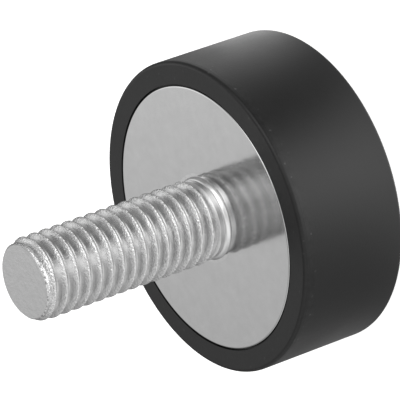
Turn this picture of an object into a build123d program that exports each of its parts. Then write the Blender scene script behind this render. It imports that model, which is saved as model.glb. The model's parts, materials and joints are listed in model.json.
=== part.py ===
from build123d import *
from math import ceil, radians, tan
import os

# Rubber buffer with one threaded stud: a short rubber cylinder, moulded round a steel plate, with a stud
# pressed through the plate from behind. All sizes are in millimetres. The origin is the middle of the plain
# rubber end, which the buffer stands on, and +Z runs along the axis to the stud's tip.

# Rubber body
body_diameter = 29.6
body_height = 11.3         # from the plain end to the plate's face
rim_radius = 0.35          # both outer edges of the rubber
lip_chamfer = 0.15         # rubber's edge round the plate, which leaves a fine V groove there

# End plate, flush with the rubber
plate_diameter = 25.0
plate_thickness = 2.0
plate_bevel = 0.12         # visible edge of the face
plate_back_radius = 0.3    # rolled edge that stamping leaves on the back

# Stud, from its tip to the head behind the plate
stud_reach = 20.1          # how far the tip stands out from the plate's face
thread_diameter = 7.8
thread_pitch = 1.25
thread_angle = 60.0        # between the two flanks
thread_left_handed = True  # the way the thread climbs
thread_start_angle = 240.0 # where the thread begins, about the axis, from +X
tip_step = 0.35            # the unrolled tip is this much smaller in radius than the thread
tip_land = 0.35            # length of the unrolled tip
tip_bevel = 0.15
neck_diameter = 7.95
neck_length = 0.85
runout_length = 1.6        # stretch above the neck where the thread fades out
collar_step = 0.275        # press collar in the plate, this much larger in radius than the neck
head_overlap = 1.25        # how far the head reaches past the collar, behind the plate
head_thickness = 1.2
head_edge_radius = 0.4

# Places and sizes that follow from those above
plate_back = body_height - plate_thickness
head_back = plate_back - head_thickness
tip_level = body_height + stud_reach
land_level = tip_level - tip_land

body_radius = body_diameter / 2
plate_radius = plate_diameter / 2
neck_radius = neck_diameter / 2
collar_radius = neck_radius + collar_step
head_radius = collar_radius + head_overlap

thread_radius = thread_diameter / 2
tip_radius = thread_radius - tip_step
thread_depth = 0.6134 * thread_pitch    # standard depth of a metric external thread
thread_crest = thread_pitch / 8         # standard width of its crest
root_radius = thread_radius - thread_depth

# The thread's ridge begins inside the neck. Its foot lies a little under the root, so that the ridge and
# the rod that it winds round are one solid. Rod and ridge start out too long and are cut to length.
ridge_sink = 0.08 * thread_pitch
ridge_lift = 0.05                       # from the plate's face to the ridge's lowest edge
ridge_half_crest = thread_crest / 2
ridge_half_foot = ridge_half_crest + (thread_depth + ridge_sink) * tan(radians(thread_angle / 2))
ridge_start = body_height + ridge_lift + ridge_half_foot
ridge_turns = ceil((land_level - ridge_start) / thread_pitch) + 1
ridge_length = ridge_turns * thread_pitch
rod_sink = 0.5                          # how far the rod reaches down into the collar
rod_start = body_height - rod_sink
rod_length = ridge_start + ridge_length + 2 * thread_pitch - rod_start
lead_margin = 0.5                       # how far the cut at the tip reaches outside the thread
lead_reach = thread_radius + lead_margin - tip_radius
cone_step = 0.05                        # the neck's cone ends this far under the rod's surface
spigot_length = 0.5                     # how far the tip reaches down into the rod
spigot_radius = root_radius - 0.3

# End plate: a stamped disc with a hole for the stud's press collar
with BuildPart() as end_plate:
    with BuildSketch(Plane.XY.offset(plate_back)):
        Circle(plate_radius)
        Circle(collar_radius, mode=Mode.SUBTRACT)
    extrude(amount=plate_thickness)
    back_face = end_plate.faces().sort_by(Axis.Z)[0]
    fillet(back_face.outer_wire().edges(), plate_back_radius)
    front_face = end_plate.faces().filter_by(Axis.Z).sort_by(Axis.Z)[-1]
    chamfer(front_face.outer_wire().edges(), plate_bevel)
end_plate.part.label = "end_plate"

# Rubber body: a cylinder with rounded rims, moulded round the plate and the stud's head
with BuildPart() as rubber_body:
    with BuildSketch():
        Circle(body_radius)
    extrude(amount=body_height)
    fillet(rubber_body.edges().filter_by(GeomType.CIRCLE), rim_radius)
    # seat of the plate, with the plate's rolled back edge
    with BuildSketch(Plane.XY.offset(plate_back)):
        Circle(plate_radius)
    extrude(amount=plate_thickness, mode=Mode.SUBTRACT)
    seat_face = rubber_body.faces().filter_by(Axis.Z).sort_by(Axis.Z)[1]
    fillet(seat_face.outer_wire().edges(), plate_back_radius)
    lip_face = rubber_body.faces().filter_by(Axis.Z).sort_by(Axis.Z)[-1]
    chamfer(lip_face.inner_wires()[0].edges(), lip_chamfer)
    # seat of the stud's head
    with BuildSketch(Plane.XY.offset(head_back)):
        Circle(head_radius)
    extrude(amount=head_thickness, mode=Mode.SUBTRACT)
    head_seat_face = rubber_body.faces().filter_by(Axis.Z).sort_by(Axis.Z)[1]
    fillet(head_seat_face.outer_wire().edges(), head_edge_radius)
rubber_body.part.label = "rubber_body"

# Threaded stud: rolled thread, plain neck, press collar and round head in one piece
with BuildPart() as threaded_stud:
    # rod at the thread's root, two turns longer than the ridge
    with BuildSketch(Plane.XY.offset(rod_start)):
        Circle(root_radius)
    extrude(amount=rod_length)
    # the thread's ridge, swept along its helix
    helix_plane = Plane.XY.offset(ridge_start).rotated((0, 0, thread_start_angle))
    with BuildLine(helix_plane) as helix:
        Helix(thread_pitch, ridge_length, root_radius, lefthand=thread_left_handed)
    section_plane = Plane(origin=helix_plane.origin, x_dir=helix_plane.x_dir, z_dir=helix_plane.y_dir)
    with BuildSketch(section_plane):
        with BuildLine():
            Polyline(
                (root_radius - ridge_sink, -ridge_half_foot),
                (thread_radius, -ridge_half_crest),
                (thread_radius, ridge_half_crest),
                (root_radius - ridge_sink, ridge_half_foot),
                close=True,
            )
        make_face()
    sweep(path=helix.line, is_frenet=True, clean=False)
    # cut to length, with the 45 degree lead that the rolled thread has at the tip
    split(bisect_by=Plane.XY.offset(land_level), keep=Keep.BOTTOM)
    with BuildSketch(Plane.XZ):
        with BuildLine():
            Polyline(
                (tip_radius, land_level + lead_margin),
                (tip_radius, land_level),
                (tip_radius + lead_reach, land_level - lead_reach),
                (tip_radius + lead_reach, land_level + lead_margin),
                close=True,
            )
        make_face()
    revolve(axis=Axis.Z, mode=Mode.SUBTRACT, clean=False)
    # head, press collar and neck, with the cone that the thread fades into
    with BuildSketch(Plane.XZ):
        with BuildLine():
            Polyline(
                (0, head_back),
                (head_radius, head_back),
                (head_radius, plate_back),
                (collar_radius, plate_back),
                (collar_radius, body_height),
                (neck_radius, body_height),
                (neck_radius, body_height + neck_length),
                (root_radius - cone_step, body_height + neck_length + runout_length),
                (0, body_height + neck_length + runout_length),
                close=True,
            )
        base_profile = make_face()
        fillet(base_profile.vertices().sort_by(Axis.X)[-2:].sort_by(Axis.Z)[0], head_edge_radius)
    revolve(axis=Axis.Z, clean=False)
    # unrolled tip with its small bevel
    with BuildSketch(Plane.XZ):
        with BuildLine():
            Polyline(
                (0, land_level - spigot_length),
                (spigot_radius, land_level - spigot_length),
                (spigot_radius, land_level),
                (tip_radius, land_level),
                (tip_radius, tip_level - tip_bevel),
                (tip_radius - tip_bevel, tip_level),
                (0, tip_level),
                close=True,
            )
        make_face()
    revolve(axis=Axis.Z, clean=False)
threaded_stud.part.label = "threaded_stud"

os.makedirs("parts", exist_ok=True)
export_step(rubber_body.part, "parts/rubber_body.step")
export_step(end_plate.part, "parts/end_plate.step")
export_step(threaded_stud.part, "parts/threaded_stud.step")
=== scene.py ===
# %% [markdown]
# # A rubber buffer with a threaded stud
#
# The buffer is a short cylinder of black rubber. A steel plate lies flush in its upper end, and a steel stud
# with a rolled thread stands on the middle of that plate. The lower end is plain rubber, which the buffer
# stands on here. Every piece is round about one axis, so each of them can be written as a surface of two
# parameters: how far along the outline a point is, and how far round the axis it is.
#
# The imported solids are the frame. They stay where they are, and each mesh made below takes the place of one
# of them in the pictures.

# %% Load the frame
import json
from math import cos, log, pi, radians, sin, tan

import bmesh
import bpy
import numpy as np
from mathutils import Matrix, Vector


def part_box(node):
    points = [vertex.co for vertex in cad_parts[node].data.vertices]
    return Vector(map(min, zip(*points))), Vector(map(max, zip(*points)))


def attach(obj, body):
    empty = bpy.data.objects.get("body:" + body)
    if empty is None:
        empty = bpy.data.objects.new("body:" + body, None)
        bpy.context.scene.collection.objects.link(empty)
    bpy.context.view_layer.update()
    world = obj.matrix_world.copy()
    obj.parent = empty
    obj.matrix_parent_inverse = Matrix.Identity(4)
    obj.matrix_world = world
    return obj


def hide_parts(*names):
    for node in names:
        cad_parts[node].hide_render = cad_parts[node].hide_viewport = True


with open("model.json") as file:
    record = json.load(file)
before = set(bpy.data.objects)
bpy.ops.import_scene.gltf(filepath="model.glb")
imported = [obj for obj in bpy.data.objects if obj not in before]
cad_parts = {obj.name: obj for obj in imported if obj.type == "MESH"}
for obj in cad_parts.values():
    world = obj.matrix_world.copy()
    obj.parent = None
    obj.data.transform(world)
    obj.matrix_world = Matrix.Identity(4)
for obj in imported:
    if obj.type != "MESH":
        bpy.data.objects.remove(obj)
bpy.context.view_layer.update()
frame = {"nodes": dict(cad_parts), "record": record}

print("nodes:", sorted(frame["nodes"]))

# %% [markdown]
# ## Sizes
#
# Everything is in metres. The large sizes are read from the solids' boxes and from the record's mounts, so a
# mesh can't drift away from the solid that it stands for. Small sizes, such as the rounding of a rim, are in
# millimetres times MM.

# %% Read the sizes
MM = 0.001


def box_of(node):
    """Lowest and highest corner of a node, as two arrays."""
    lowest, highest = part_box(node)
    return np.array(lowest), np.array(highest)


rubber_high = box_of("rubber_body")[1]
plate_low, plate_high = box_of("end_plate")
stud_low, stud_high = box_of("threaded_stud")
mounts = {mount["name"]: mount for mount in frame["record"]["mounts"]}

body_radius = rubber_high[0]
plate_radius = plate_high[0]
face_level = plate_high[2]
plate_back = plate_low[2]
head_radius = stud_high[0]
head_back = stud_low[2]
tip_level = stud_high[2]
neck_radius = mounts["stud_neck"]["dims"]["r_mm"] * MM
neck_length = mounts["stud_neck"]["dims"]["length_mm"] * MM
crest_radius = mounts["stud_thread"]["dims"]["r_mm"] * MM
print("body radius", body_radius, "plate radius", plate_radius, "face level", face_level)
print("neck radius", neck_radius, "crest radius", crest_radius, "tip level", tip_level)

# %% [markdown]
# ## From an outline to a grid
#
# Each piece starts as an outline of points (r, z): the distance from the axis and the height. Outlines are
# put together from straight lines and arcs. Turning an outline about the axis gives a grid of points, with a
# row for each point of the outline and a column for each angle.

# %% Helpers for outlines
def line(start, end, steps=1):
    """Points on the straight line from start to end, each an (r, z) pair, without the last one."""
    share = np.linspace(0, 1, steps + 1)[:-1, None]
    return np.array(start) * (1 - share) + np.array(end) * share


def arc(centre, radius, first, last, steps=8):
    """Points on a circle: centre + radius (cos a, sin a), with the angle a from first to last in degrees."""
    angle = np.radians(np.linspace(first, last, steps + 1))[:, None]
    return np.array(centre) + radius * np.hstack([np.cos(angle), np.sin(angle)])


def turned(profile, columns):
    """Surface of revolution: an outline point (r, z) goes to (r cos a, r sin a, z) for each angle a."""
    angle = np.linspace(0, 2 * pi, columns + 1)
    radius = profile[:, :1]
    height = np.repeat(profile[:, 1:], columns + 1, axis=1)
    return np.stack([radius * np.cos(angle), radius * np.sin(angle), height], axis=2)


print("a quarter circle:", arc((0, 0), 1, 0, 90, 2).round(3).tolist())

# %% [markdown]
# ## From a grid to a closed skin
#
# A turned or moulded part could be made with Blender's Spin or Screw tools, which depend on the selection and
# the cursor. Here the points are worked out as one array, and four neighbouring points make a face. The last
# column lies on the first one, and a row at the axis is one point many times over. Merging the points that
# coincide closes the seam and the poles, and leaves no face without area.

# %% Helper for skins
MERGE = 1e-7
SHARP_FROM = 35


def skin(name, grid):
    """Closed mesh of a grid of points. Face (i, j) joins rows i, i + 1 and columns j, j + 1.

    Points less than MERGE metres apart become one, and edges that bend by more than SHARP_FROM degrees stay
    sharp. An edge is open unless just two faces meet there. A volume above 0 says that faces point outwards.
    """
    rows, columns = grid.shape[:2]
    index = np.arange(rows * columns).reshape(rows, columns)
    faces = np.stack([index[:-1, :-1], index[:-1, 1:], index[1:, 1:], index[1:, :-1]], axis=2)
    mesh = bpy.data.meshes.new(name)
    mesh.from_pydata(grid.reshape(-1, 3).tolist(), [], faces.reshape(-1, 4).tolist())
    work = bmesh.new()
    work.from_mesh(mesh)
    bmesh.ops.remove_doubles(work, verts=work.verts, dist=MERGE)
    volume = work.calc_volume(signed=True)
    work.to_mesh(mesh)
    work.free()
    mesh.shade_smooth()
    mesh.set_sharp_from_angle(angle=radians(SHARP_FROM))
    piece = bpy.data.objects.new(name, mesh)
    bpy.context.scene.collection.objects.link(piece)
    edge_of_corner = np.empty(len(mesh.loops), dtype=np.int32)
    mesh.loops.foreach_get("edge_index", edge_of_corner)
    open_edges = np.count_nonzero(np.bincount(edge_of_corner, minlength=len(mesh.edges)) != 2)
    triangles = len(mesh.loops) - 2 * len(mesh.polygons)
    print(name, "triangles", triangles, "open edges", open_edges, "volume mm3", round(volume / MM ** 3, 1))
    return piece


# %% [markdown]
# ## Rubber body
#
# On the real buffer the rubber is pressed into a mould round the plate and round the stud's head, so its
# inside is a print of both. Its rims are slightly round, because a mould's corner can't be quite sharp. Close
# under the upper rim is a trace of the flash line where the two halves of the mould met, and round the plate
# runs a narrow slit. One outline turned about the axis gives all of this. It goes from the middle of the
# lower end over the wall and the upper end, down the slit and along the plate and the head. Extra points, at
# the distance "hold" from an arc, keep the flat faces flat when the shading is smooth.

# %% Size the rubber's rims, its slit and its flash line
WIDE_COLUMNS = 256
rim = 0.35 * MM
hold = 0.03 * MM
plate_roll = 0.3 * MM
head_roll = 0.4 * MM
seat_level = plate_back + plate_roll

lip = 0.15 * MM
slit_edge = plate_radius + lip
slit_foot = plate_radius + 0.8 * lip
slit_corner = face_level - 2 * lip
slit_floor = face_level - 2.2 * lip

flash_height = 0.004 * MM
flash_half = 0.035 * MM
flash_level = face_level - 0.62 * MM
wall = body_radius - flash_height
flash_share = np.linspace(-3, 3, 13)
# A bell: the wall's radius + flash_height exp(-share^2), at the height flash_level + share flash_half.
flash_line = np.stack([
    wall + flash_height * np.exp(-flash_share ** 2),
    flash_level + flash_share * flash_half,
], axis=1)
print("the slit is", lip / MM, "mm wide and", round((face_level - slit_floor) / MM, 2), "mm deep")

# %% Make the rubber body
rubber_profile = np.vstack([
    line((0, 0), (wall - rim - hold, 0), 6),
    line((wall - rim - hold, 0), (wall - rim, 0)),
    arc((wall - rim, rim), rim, -90, 0),
    line((wall, rim + hold), (wall, flash_level - 4 * flash_half), 8),
    flash_line,
    arc((wall - rim, face_level - rim), rim, 0, 90),
    line((wall - rim - hold, face_level), (slit_edge + hold, face_level), 4),
    line((slit_edge + hold, face_level), (slit_edge, face_level)),
    line((slit_edge, face_level), (slit_foot, slit_corner), 3),
    line((slit_foot, slit_corner), (plate_radius, slit_floor), 2),
    line((plate_radius, slit_floor), (plate_radius, seat_level), 3),
    arc((plate_radius - plate_roll, seat_level), plate_roll, 0, -90),
    line((plate_radius - plate_roll - hold, plate_back), (head_radius, plate_back), 3),
    line((head_radius, plate_back), (head_radius, head_back + head_roll), 2),
    arc((head_radius - head_roll, head_back + head_roll), head_roll, 0, -90),
    [(0, head_back)],
])
rubber = skin("rubber_skin", turned(rubber_profile, WIDE_COLUMNS))

# %% [markdown]
# ## End plate
#
# The plate is punched from bright plated sheet. The punch rolls the edge of its back over, and the edge of
# its face keeps a very small bevel, which shows as a thin bright line beside the dark line of the rubber's
# lip. It is a ring, because the stud's collar is pressed into its hole, so its outline is a closed loop.

# %% Make the end plate
collar_step = 0.275 * MM
collar_radius = neck_radius + collar_step
plate_bevel = 0.12 * MM

plate_profile = np.vstack([
    line((collar_radius, plate_back), (plate_radius - plate_roll, plate_back), 4),
    arc((plate_radius - plate_roll, seat_level), plate_roll, -90, 0),
    line((plate_radius, seat_level + hold), (plate_radius, face_level - plate_bevel), 3),
    arc((plate_radius - plate_bevel, face_level - plate_bevel), plate_bevel, 0, 90, 5),
    line((plate_radius - plate_bevel - hold, face_level), (collar_radius, face_level), 6),
    line((collar_radius, face_level), (collar_radius, plate_back), 2),
    [(collar_radius, plate_back)],
])
plate = skin("plate_disc", turned(plate_profile, WIDE_COLUMNS))

# %% [markdown]
# ## Thread
#
# The thread is rolled: hardened dies press the grooves in, and the steel that they push aside rises as
# crests. Each crest is two lips that nearly close, so a fine seam is left beside its middle. Blender's Screw
# modifier could carry an outline along a helix, but its ends would have to be cut and capped. Instead the
# radius is written as a function of angle and height. The phase of a point tells how many pitches it lies
# above the helix of the first crest, and its distance from the nearest crest follows from that.

# %% Set the thread's sizes
PITCH = 1.25 * MM
THREAD_DEPTH = 0.6134 * PITCH
CREST_HALF = PITCH / 16
FLANK_ANGLE = radians(30)
START_ANGLE = radians(240)
RIDGE_LIFT = 0.05 * MM
RIDGE_SINK = 0.08 * PITCH
ridge_foot = CREST_HALF + (THREAD_DEPTH + RIDGE_SINK) * tan(FLANK_ANGLE)
first_crest = face_level + RIDGE_LIFT + ridge_foot
root_radius = crest_radius - THREAD_DEPTH


def phase_at(angle, height):
    """Pitches above the first crest's helix: height / pitch plus angle / turn.

    The thread is left-handed, so the helix falls as the angle grows.
    """
    return (height - first_crest) / PITCH + (angle - START_ANGLE) / (2 * pi)


print("root radius", root_radius / MM, "mm, first crest", first_crest / MM, "mm high")

# %% [markdown]
# ## The ridge
#
# Cut by a plane through the axis, the ridge is a trapezoid with flanks at 60 degrees to each other. Rolling
# leaves no sharp corner on it. A rounded corner comes from a softened maximum of two straight lines: far from
# their crossing it is the higher line, and near it a curve leads from one to the other.

# %% Define the ridge
CREST_ROUND = 0.26 * MM
ROOT_ROUND = 0.34 * MM


def soft_max(one, other, width):
    """The larger of two values, rounded: half the sum plus half the root of difference^2 + width^2."""
    return (one + other + np.sqrt((one - other) ** 2 + width ** 2)) / 2


def soft_min(one, other, width):
    """The smaller of two values, rounded: half the sum less half the root of difference^2 + width^2."""
    return -soft_max(-one, -other, width)


def ridge_shape(offset):
    """Height at a distance from the crest: depth less distance / tan 30, kept between 0 and the depth."""
    flank = THREAD_DEPTH - (np.abs(offset) - CREST_HALF) / tan(FLANK_ANGLE)
    return soft_max(soft_min(flank, THREAD_DEPTH, CREST_ROUND), 0.0, ROOT_ROUND)


peak, valley = ridge_shape(0.0), ridge_shape(PITCH / 2)
print("rounding takes", round((THREAD_DEPTH - peak + valley) / MM, 3), "mm off the ridge's height")

# %% [markdown]
# ## The seam
#
# The seam lies a tenth of a millimetre from the crest's middle, on the plate's side. It wanders a little and
# nearly closes in places, because the two lips never meet evenly. Waves of angle and height give both.

# %% Define the seam
SEAM_OFFSET = 0.10 * MM
SEAM_WIDTH = 0.028 * MM
SEAM_DEPTH = 0.035 * MM
SEAM_WANDER = 0.012 * MM
LIP_HEIGHT = 0.004 * MM
LIP_WIDTH = 2.4 * SEAM_WIDTH


def seam_relief(angle, height, offset):
    """Height of the lips less the depth of the seam. Each is a bell, exp(-(distance / width)^2).

    The seam's middle moves by a sine of the angle and the height. Two more sines, multiplied, give the seam
    from a tenth to the whole of its depth.
    """
    level = height / MM
    wander = SEAM_WANDER * np.sin(9 * angle + level + 0.6 * np.sin(23 * angle + 3 * level))
    broken = 0.55 + 0.45 * np.sin(31 * angle + 5 * level) * np.sin(13 * angle - 7 * level)
    seam = broken * np.exp(-((offset + SEAM_OFFSET - wander) / SEAM_WIDTH) ** 2)
    lips = np.exp(-((offset + SEAM_OFFSET) / LIP_WIDTH) ** 2)
    return LIP_HEIGHT * lips - SEAM_DEPTH * seam


print("the seam is up to", SEAM_DEPTH / MM, "mm deep")

# %% [markdown]
# ## The stud's ends
#
# The neck flares out where it meets the plate, and has a small shoulder under its straight part. Above it the
# first groove starts shallow, and the first crest starts low, because the dies ease into the steel there. The
# tip is not rolled: a 45 degree lead ends the crests, and a short plain land with a small bevel follows.

# %% Set the sizes of the ends
neck_top = face_level + neck_length
flare_top = face_level + hold + 0.27 * MM
shoulder_top = flare_top + 0.07 * MM
middle_radius = neck_radius - 0.17 * MM
waist_radius = middle_radius - 0.12 * MM
groove_fill = 0.48 * MM
CAP_STEP = 0.03 * MM
CAP_SLOPE = 0.8
CUT_ROUND = 0.03 * MM

tip_radius = crest_radius - 0.35 * MM
land_level = tip_level - 0.35 * MM
tip_bevel = 0.15 * MM
TIP_SLOPE = 2.5


def thread_radius_at(angle, height):
    """Radius of the thread: the root's, plus the ridge stretched to its full depth, plus the seam's relief.

    Over the neck it stays inside a cone that widens by CAP_SLOPE for each unit of height, and outside one
    that narrows from the waist's radius to the root's within groove_fill. Under the land it stays inside the
    lead, a cone that widens by 1 for each unit, and outside one that narrows by TIP_SLOPE, so that no groove
    undercuts the land.
    """
    phase = phase_at(angle, height)
    offset = (phase - np.round(phase)) * PITCH
    ridge = THREAD_DEPTH * (ridge_shape(offset) - valley) / (peak - valley)
    radius = root_radius + ridge + seam_relief(angle, height, offset)
    over_neck = height - neck_top
    under_land = land_level - height
    radius = soft_min(radius, waist_radius + CAP_STEP + over_neck * CAP_SLOPE, CUT_ROUND)
    fill = over_neck * (waist_radius - root_radius) / groove_fill
    radius = soft_max(radius, waist_radius - fill, CUT_ROUND)
    radius = soft_min(radius, tip_radius + under_land, CUT_ROUND)
    return np.maximum(radius, tip_radius - under_land * TIP_SLOPE)


print("the neck's radius falls from", neck_radius / MM, "to", waist_radius / MM, "mm")

# %% [markdown]
# ## Threaded stud
#
# The stud is one closed skin of three grids. The lowest is turned: the head, the collar, which fills the
# plate's hole, and the neck. The highest is turned too: the land, the bevel and the flat tip. The thread's
# grid lies between them. Its rows follow the helix, so that a crest never crosses a face, and they crowd
# together at the seam, where the form is finest. At both ends the rows are clamped to a level, and the merged
# points close the surface.

# %% Lay rows along the thread
THREAD_COLUMNS = 192
ROWS_PER_PITCH = 30
CROWDING = 0.7
seam_phase = SEAM_OFFSET / PITCH

angles = np.linspace(0, 2 * pi, THREAD_COLUMNS + 1)
first_turn = int(np.floor(phase_at(0.0, neck_top)))
last_turn = int(np.ceil(phase_at(2 * pi, land_level)))
even = np.arange(first_turn * ROWS_PER_PITCH, last_turn * ROWS_PER_PITCH + 1) / ROWS_PER_PITCH
# A row's phase less the crowding times sin(turn (phase + the seam's phase)) / turn.
crowded = even - CROWDING * np.sin(2 * pi * (even + seam_phase)) / (2 * pi)
levels = first_crest + PITCH * (crowded[:, None] - (angles[None, :] - START_ANGLE) / (2 * pi))
levels = np.clip(levels, neck_top, land_level)
angle_grid = np.broadcast_to(angles, levels.shape)
radii = thread_radius_at(angle_grid, levels)
thread_grid = np.stack([radii * np.cos(angle_grid), radii * np.sin(angle_grid), levels], axis=2)
print("greatest thread radius", radii.max() / MM, "mm, rows", len(even))

# %% Make the threaded stud
base_profile = np.vstack([
    line((0, head_back), (head_radius - head_roll, head_back), 3),
    arc((head_radius - head_roll, head_back + head_roll), head_roll, -90, 0, 6),
    line((head_radius, plate_back), (collar_radius, plate_back), 2),
    line((collar_radius, plate_back), (collar_radius, face_level), 2),
    line((collar_radius, face_level), (neck_radius, face_level)),
    line((neck_radius, face_level), (neck_radius, face_level + hold)),
    line((neck_radius, face_level + hold), (middle_radius, flare_top), 3),
    line((middle_radius, flare_top), (waist_radius, shoulder_top), 2),
    line((waist_radius, shoulder_top), (waist_radius, neck_top - hold), 3),
    [(waist_radius, neck_top - hold)],
])
tip_profile = np.vstack([
    line((tip_radius, land_level + 0.02 * MM), (tip_radius, tip_level - tip_bevel), 2),
    line((tip_radius, tip_level - tip_bevel), (tip_radius - tip_bevel, tip_level), 2),
    line((tip_radius - tip_bevel, tip_level), (tip_radius - tip_bevel - hold, tip_level)),
    line((tip_radius - tip_bevel - hold, tip_level), (0, tip_level), 3),
    [(0, tip_level)],
])
stud = skin("stud_thread", np.concatenate([
    turned(base_profile, THREAD_COLUMNS), thread_grid, turned(tip_profile, THREAD_COLUMNS),
]))

# %% [markdown]
# ## Pieces in the frame
#
# Each skin stands for one solid, which it hides, and rides on the only body.

# %% Tie the pieces to the frame
for piece, node, slot_name in (
    (rubber, "rubber_body", "black_rubber"),
    (plate, "end_plate", "plate_steel"),
    (stud, "threaded_stud", "stud_steel"),
):
    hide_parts(node)
    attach(piece, "root")
    print(piece.name, "stands for", node)

# %% [markdown]
# ## Shader maths
#
# A material is a graph of nodes. A small class wraps a socket, so that sums on sockets can be written as
# sums, and each operator adds its Math node. Three masks are needed again and again: a step up, a step down
# and a band. They are methods, and so is the sway of a noise about its middle.

# %% Wrap sockets
class Field:
    """A number that varies over a surface, held as a node's output socket."""

    def __init__(self, graph, socket):
        self.graph = graph
        self.socket = socket

    def math(self, operation, *values):
        """A Math node's result for one to three values."""
        return self.graph.add("ShaderNodeMath", {"operation": operation}, dict(enumerate(values)))

    def __add__(self, other):
        return self.math("ADD", self, other)

    __radd__ = __add__

    def __sub__(self, other):
        return self.math("SUBTRACT", self, other)

    def __rsub__(self, other):
        return self.math("SUBTRACT", other, self)

    def __mul__(self, other):
        return self.math("MULTIPLY", self, other)

    __rmul__ = __mul__

    def __truediv__(self, other):
        return self.math("DIVIDE", self, other)

    def __rtruediv__(self, other):
        return self.math("DIVIDE", other, self)

    def clamp(self):
        """The value cut off at 0 and 1."""
        return self.math("MINIMUM", self.math("MAXIMUM", self, 0.0), 1.0)

    def size(self):
        """The value without its sign."""
        return self.math("ABSOLUTE", self)

    def rise(self, start, length):
        """A step up: 0 below start and 1 from start + length on, (value - start) / length between them."""
        return ((self - start) / length).clamp()

    def fall(self, end, length):
        """A step down: 1 up to end - length and 0 above end, (end - value) / length between them."""
        return ((end - self) / length).clamp()

    def band(self, middle, reach, lift=1.0):
        """A ridge round a middle: lift - distance / reach, cut off at 0 and 1."""
        return (lift - (self - middle).size() / reach).clamp()

    def sway(self, amount):
        """How far a noise is from its middle, 0.5, times an amount."""
        return (self - 0.5) * amount

    def out(self, name):
        """Another output of the same node."""
        return Field(self.graph, self.socket.node.outputs[name])


# %% Wrap node trees
class Graph:
    """The node tree of a material or of the world."""

    def __init__(self, owner):
        owner.use_nodes = True
        self.owner = owner
        self.tree = owner.node_tree
        self.tree.nodes.clear()

    def add(self, kind, settings=(), inputs=(), output=0):
        """Adds a node of a kind, sets its settings, then its sockets by name or number."""
        node = self.tree.nodes.new(kind)
        for name, value in dict(settings).items():
            setattr(node, name, value)
        for name, value in dict(inputs).items():
            socket = node.inputs[name]
            if isinstance(value, Field):
                self.tree.links.new(value.socket, socket)
            else:
                socket.default_value = value
        return Field(self, node.outputs[output]) if len(node.outputs) else node

    def position(self):
        """Object coordinates, in metres."""
        return self.add("ShaderNodeTexCoord", output="Object")

    def split(self, vector):
        """The three parts of a vector."""
        x = self.add("ShaderNodeSeparateXYZ", inputs={0: vector})
        return x, x.out("Y"), x.out("Z")

    def noise(self, vector, scale, detail=2.0, rough=0.5):
        """Noise from 0 to 1. The scale is in waves for each metre."""
        values = {"Vector": vector, "Scale": scale, "Detail": detail, "Roughness": rough}
        return self.add("ShaderNodeTexNoise", {}, values)

    def bump(self, height, distance, strength):
        """A normal bent by a height from 0 to 1, which stands for a distance in metres."""
        return self.add("ShaderNodeBump", {}, {"Height": height, "Distance": distance, "Strength": strength})

    def grey(self, value):
        """A grey colour of a value."""
        return self.add("ShaderNodeCombineColor", {}, {0: value, 1: value, 2: value})

    def principled(self, sockets):
        """The usual shader, with its sockets by name."""
        return self.add("ShaderNodeBsdfPrincipled", {}, sockets)

    def surface(self, shader, kind="ShaderNodeOutputMaterial"):
        """Links a shader to the tree's output, and tells how many nodes the tree has."""
        self.add(kind, {}, {"Surface": shader})
        print(self.owner.name, "has", len(self.tree.nodes), "nodes")


def finish_of(piece, name):
    """A new material, put on a piece, and its graph."""
    material = bpy.data.materials.new(name)
    piece.data.materials.append(material)
    return Graph(material)


# %% [markdown]
# ## Rubber finish
#
# Moulded rubber is nearly black and satin. It copies the fine grain of the mould, has soft clouds where the
# mould release was thicker, and a few pale specks of dust or bloom, most of them near the upper rim. The
# specks are the middles of small cells, and a second noise picks which cells have one.

# %% Paint the rubber
RUBBER_GREY = 0.012
RUBBER_ROUGHNESS = 0.40
SPECK_GREY = 0.08

graph = finish_of(rubber, "moulded_rubber")
place = graph.position()
height = graph.split(place)[2]
clouds = graph.noise(place, 240.0, 3.0)
grain = graph.noise(place, 5200.0, 2.0)
dust = graph.noise(place, 1500.0, 3.0, 0.6)
from_cell = graph.add("ShaderNodeTexVoronoi", {"feature": "F1"}, {"Vector": place, "Scale": 1300.0})
specks = from_cell.fall(0.20, 1 / 12) * dust.rise(0.5, 1 / 8)
near_rim = height.band(face_level - 0.7 * MM, 0.9 * MM)
dusty = near_rim * (SPECK_GREY * specks + dust.sway(0.03))
graph.surface(graph.principled({
    "Base Color": graph.grey(RUBBER_GREY + clouds.sway(0.006) + grain.sway(0.004) + dusty),
    "Roughness": (RUBBER_ROUGHNESS + clouds.sway(0.16) + grain.sway(0.10)).clamp(),
    "Specular IOR Level": 0.35,
    "Normal": graph.bump(grain + 3 * near_rim * dust, 0.010 * MM, 0.6),
}))

# %% [markdown]
# ## Plate finish
#
# The plate is bright zinc on rolled sheet: a metal with a fairly smooth skin, so the stud shows in it as a
# soft dark image. Slow ripples bend that image, and a finer mottle and grain blur it.

# %% Paint the plate
PLATE_GREY = 0.60
PLATE_ROUGHNESS = 0.13

graph = finish_of(plate, "plated_sheet")
place = graph.position()
ripple = graph.noise(place, 330.0, 2.0)
mottle = graph.noise(place, 900.0, 4.0, 0.6)
grain = graph.noise(place, 6000.0, 2.0)
graph.surface(graph.principled({
    "Base Color": graph.grey(PLATE_GREY + mottle.sway(0.08) + ripple.sway(0.04)),
    "Metallic": 1.0,
    "Roughness": (PLATE_ROUGHNESS + mottle.sway(0.08) + grain.sway(0.04)).clamp(),
    "Normal": graph.bump(ripple + 0.05 * mottle + 0.08 * grain, 0.020 * MM, 0.5),
}))
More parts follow.
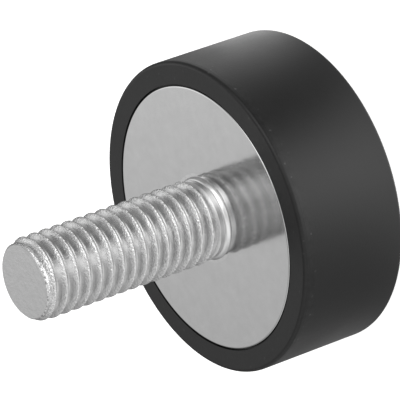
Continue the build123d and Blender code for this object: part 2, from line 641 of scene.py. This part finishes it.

# %% [markdown]
# ## Stud finish
#
# The stud has the same plating, but the dies leave it rougher: a fine mottle lies all over it, and the crests
# and the edge of the tip, where the steel was not pressed flat, have small pits. There the colour is also
# lighter, with bright and dark specks, a painted glint. Along each crest the seam's groove is a row of dark
# dots of painted shade, with a thin bright line of painted highlight beside it. The collar and the base of
# the
# neck were not rolled: the collar is smoother than the thread, and the base of the neck is painted paler, a
# painted highlight. The same phase that shaped the thread tells the material where the crests are, so the
# marks lie exactly on them.

# %% Find the thread on the stud's surface
graph = finish_of(stud, "rolled_steel")
place = graph.position()
x, y, height = graph.split(place)
angle = y.math("ARCTAN2", y, x)
phase = (height - first_crest) / PITCH + (angle - START_ANGLE) / (2 * pi)
offset = phase.math("WRAP", phase, 0.5, -0.5) * PITCH
in_thread = height.rise(neck_top, 0.2 * MM) * height.fall(land_level, 0.1 * MM)
print("the thread is marked from", round(neck_top / MM, 3), "to", round(land_level / MM, 3), "mm")

# %% Mark the crests, the seam, the tip's edge and the foot
# Offsets are from a crest's middle, and below 0 on its side towards the plate.
mottle = graph.noise(place, 1500.0, 3.0, 0.6)
pits = graph.noise(place, 4600.0, 2.0, 0.6)
dots = graph.noise(place, 3200.0, 1.0).rise(0.50, 1 / 12)
edge = height.rise(land_level - 0.4 * MM, 0.1 * MM) * height.fall(tip_level - 0.02 * MM, 0.02 * MM)
bevel = height.rise(tip_level - 0.2 * MM, 0.05 * MM) * edge
crest = (offset.band(-0.04 * MM, 0.32 * MM, 1.3) * in_thread + 0.7 * edge).clamp()
# A painted highlight: a thin bright line on each crest's side towards the plate, beside the seam.
painted_lip_highlight = offset.band(-0.17 * MM, 0.05 * MM, 1.3) * in_thread
# Painted shade: dark dots in each seam's groove, and dark dots on the tip's bevel.
painted_seam_shade_and_bevel_dots = (offset.band(-SEAM_OFFSET, 0.04 * MM, 1.2) * in_thread + 0.6 * bevel) * dots
collar = height.rise(face_level - 2 * hold, hold) * height.fall(face_level + hold, hold)
# A painted highlight: the neck, up to half a millimetre above the plate, is painted paler.
painted_neck_base_highlight = height.fall(face_level + 0.5 * MM, 0.1 * MM) * (1 - collar)
print("the marks take", len(graph.tree.nodes), "nodes")

# %% Paint the stud
STEEL_GREY = 0.65
STEEL_ROUGHNESS = 0.24
DENT_DEPTH = 0.13 * MM

# The thread is a little darker than the tip. Pits lie nearly all on the crests, where they also lighten and
# speckle the colour as a painted glint, and the seam's painted shade darkens them.
steel = STEEL_GREY - 0.05 * in_thread + mottle.sway(0.10) + crest * (0.64 * pits - 0.11)
dents = mottle * 0.12 + pits * (0.05 + 0.95 * crest) - 0.3 * painted_seam_shade_and_bevel_dots
graph.surface(graph.principled({
    # The colour carries painted highlights beside the seams and at the neck's base, and the seam's painted
    # shade.
    "Base Color": graph.grey((steel + 0.35 * painted_lip_highlight + 0.16 * painted_neck_base_highlight) * (1 - 0.65 * painted_seam_shade_and_bevel_dots)),
    "Metallic": 1.0,
    "Roughness": (STEEL_ROUGHNESS + mottle.sway(0.10) + crest * pits.sway(0.20) - 0.14 * collar).clamp(),
    "Normal": graph.bump(dents, DENT_DEPTH, 0.9),
}))

# %% [markdown]
# ## Studio
#
# Metal looks like what stands round it, and plain white all round would wipe out its light and dark parts.
# So the buffer is lit by a studio of soft round boards, and only the camera sees plain white. Each board is a
# patch of light in a direction from the buffer: its azimuth and elevation, its spread, which is the angle at
# which it has fallen to half, and its brightness, where 1 is white. Boards below the horizon show in walls
# and flanks that are seen from above, as the light that a table throws back does. All are set from the light
# and dark parts of the metal in the photograph.

# %% Describe the studio
BOARDS = (
    # azimuth, elevation, spread, brightness
    (-36, 38, 19, 1.5),
    (-60, 58, 16, 1.1),
    (-60, 28, 17, 1.2),
    (-88, -13, 20, 1.8),
    (-88, -38, 19, 1.3),
    (-60, -76, 17, 1.4),
    (-6, -38, 22, 1.6),
    (30, 5, 24, 0.25),
    (66, 38, 19, 1.45),
    (140, 5, 30, 0.35),
    (170, -38, 20, 0.3),
    (-150, 10, 30, 0.9),
    (-125, 45, 22, 0.75),
    (-120, -30, 19, 0.5),
    (0, 50, 20, 0.3),
    (155, 42, 22, 0.6),
)


def direction_to(azimuth, elevation):
    """Unit vector of an azimuth and an elevation in degrees: (cos a cos e, sin a cos e, sin e)."""
    turn, rise = radians(azimuth), radians(elevation)
    return (cos(turn) * cos(rise), sin(turn) * cos(rise), sin(rise))


def studio(graph, way):
    """Brightness of the studio in a direction: brightness times exp(k (cos angle - 1)), summed over boards.

    The angle is the one between the direction and the board's. The brightness falls to half at the board's
    spread, so k is ln 2 / (1 - cos spread).
    """
    level = 0.0
    for azimuth, elevation, spread, brightness in BOARDS:
        sharpness = log(2) / (1 - cos(radians(spread)))
        dot = graph.add("ShaderNodeVectorMath", {"operation": "DOT_PRODUCT"},
                        {0: way, 1: direction_to(azimuth, elevation)}, "Value")
        level = level + brightness * dot.math("EXPONENT", (dot - 1) * sharpness)
    return level


def ray_kinds(graph):
    """Two masks: 1 for a ray that comes from the camera or through glass, and 1 for one off a glossy face."""
    rays = graph.add("ShaderNodeLightPath", output="Is Camera Ray")
    return (rays + rays.out("Is Transmission Ray")).clamp(), rays.out("Is Glossy Ray")


print(len(BOARDS), "boards")

# %% [markdown]
# ## Floor
#
# The floor is pale diffuse paint, which keeps a soft shadow. For the camera it also gives some light itself,
# so it looks white without more light on the buffer. In reflections it is replaced by the part of the studio
# that lies below the horizon, seen from the buffer's middle.

# %% Lay the floor
FLOOR_HALF = 3.0
FLOOR_PAINT = (0.8, 0.8, 0.8, 1)
FLOOR_GLOW = 0.86
FLOOR_GAP = 0.01 * MM
BUFFER_MIDDLE = (0.0, 0.0, 0.011)

floor_mesh = bpy.data.meshes.new("floor")
corners = [(-FLOOR_HALF, -FLOOR_HALF, 0), (FLOOR_HALF, -FLOOR_HALF, 0),
           (FLOOR_HALF, FLOOR_HALF, 0), (-FLOOR_HALF, FLOOR_HALF, 0)]
floor_mesh.from_pydata(corners, [], [(0, 1, 2, 3)])
floor = bpy.data.objects.new("floor", floor_mesh)
bpy.context.scene.collection.objects.link(floor)
floor.location.z = -FLOOR_GAP

# %% Paint the floor
graph = finish_of(floor, "floor_paint")
plainly_seen, reflected = ray_kinds(graph)
from_middle = graph.add("ShaderNodeVectorMath", {"operation": "SUBTRACT"},
                        {0: graph.position(), 1: BUFFER_MIDDLE})
way = graph.add("ShaderNodeVectorMath", {"operation": "NORMALIZE"}, {0: from_middle})
paint = graph.add("ShaderNodeBsdfDiffuse", {}, {"Color": FLOOR_PAINT})
glow = graph.add("ShaderNodeEmission", {}, {"Color": graph.grey(FLOOR_GLOW * plainly_seen)})
boards = graph.add("ShaderNodeEmission", {}, {"Color": graph.grey(studio(graph, way))})
plain = graph.add("ShaderNodeAddShader", {}, {0: paint, 1: glow})
graph.surface(graph.add("ShaderNodeMixShader", {}, {0: reflected, 1: plain, 2: boards}))

# %% [markdown]
# ## World
#
# The world closes the view over the floor with plain white. For all other rays it is the studio, which lights
# the rubber and shows in the metal.

# %% Set the world
world = bpy.data.worlds.new("studio")
bpy.context.scene.world = world
graph = Graph(world)
way = graph.add("ShaderNodeTexCoord", output="Generated")
plainly_seen = ray_kinds(graph)[0]
level = plainly_seen + (1 - plainly_seen) * studio(graph, way)
background = graph.add("ShaderNodeBackground", {}, {"Color": graph.grey(level), "Strength": 1.0})
graph.surface(background, "ShaderNodeOutputWorld")

# %% [markdown]
# ## Lamp
#
# Nearly all the light comes from the studio. One weak softbox behind the buffer adds a thin bright line along
# the rubber's rim at the top of the picture, and a little light along the far side of the stud.

# %% Place the lamp
SOFTBOX_SIZE = (0.12, 0.16)
SOFTBOX_DISTANCE = 0.26
SOFTBOX_POWER = 0.002
AIM = Vector((0.0, 0.0, 0.016))

lamp = bpy.data.lights.new("back_box", "AREA")
lamp.shape = "RECTANGLE"
lamp.size, lamp.size_y = SOFTBOX_SIZE
lamp.energy = SOFTBOX_POWER
softbox = bpy.data.objects.new("back_box", lamp)
way = Vector(direction_to(68, 32))
softbox.location = AIM + way * SOFTBOX_DISTANCE
softbox.rotation_euler = way.to_track_quat("Z", "Y").to_euler()
softbox.visible_camera = False
bpy.context.scene.collection.objects.link(softbox)
print("the softbox stands at", softbox.location)

# %% [markdown]
# ## Camera
#
# The camera stands where the photograph was taken from, worked out from the outline of the plate, the rubber
# and the stud. It looks down on the plate at about 33 degrees, and it is rolled, so that the buffer's axis
# points left and a little down.

# %% Place the camera
camera_data = bpy.data.cameras.new("camera")
camera_data.lens = 406.508
camera_data.sensor_width = 36.0
camera_data.clip_start = 0.01
camera_data.clip_end = 20.0
camera = bpy.data.objects.new("camera", camera_data)
stand = Vector((0.0016755, -0.3472793, 0.2328284))
right = Vector((-0.3322, -0.5076, -0.7950))
forward = Vector((0.0, 0.8428, -0.5382))
right = (right - forward * right.dot(forward)).normalized()
up = right.cross(forward)
camera.matrix_world = Matrix.Translation(stand) @ Matrix((right, up, -forward)).transposed().to_4x4()
bpy.context.scene.collection.objects.link(camera)
bpy.context.scene.camera = camera
bpy.context.scene.view_settings.view_transform = "Standard"
print("the camera stands", round((stand - AIM).length / MM), "mm from the buffer")
